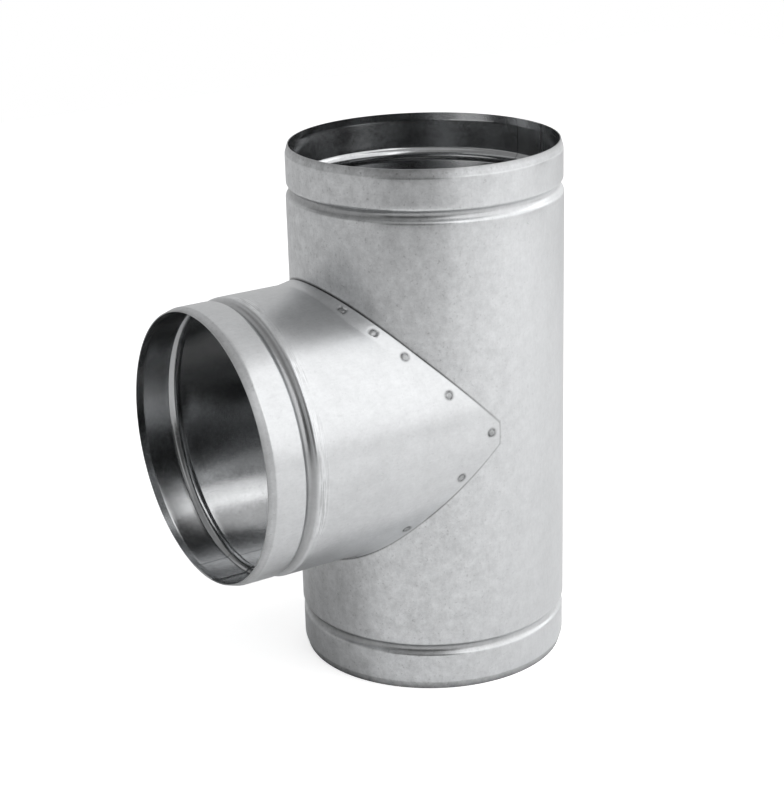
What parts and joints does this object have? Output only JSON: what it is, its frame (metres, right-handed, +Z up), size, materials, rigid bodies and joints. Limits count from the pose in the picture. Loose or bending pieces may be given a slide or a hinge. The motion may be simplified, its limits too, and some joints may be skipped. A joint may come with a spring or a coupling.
{
  "type": "galvanized duct tee",
  "caption": "Equal tee of galvanized sheet that joins a round side duct square to a straight round duct run.",
  "frame": {"origin": "on the axis of the straight run, in the plane of its bottom rim", "axes": "+Z up the run, -X along the branch towards its mouth, +Y to the far side of the joint"},
  "size_m": [0.22, 0.1512, 0.29],
  "materials": {
    "galvanized_run": "hot-dip galvanized sheet, fine flat spangle, soft satin sheen with light handling marks",
    "galvanized_branch": "hot-dip galvanized sheet, fine flat spangle, soft satin sheen with roller marks at the groove"
  },
  "bodies": {
    "root": {"run_tube": "galvanized_run", "branch_tube": "galvanized_branch"}
  },
  "joints": []
}
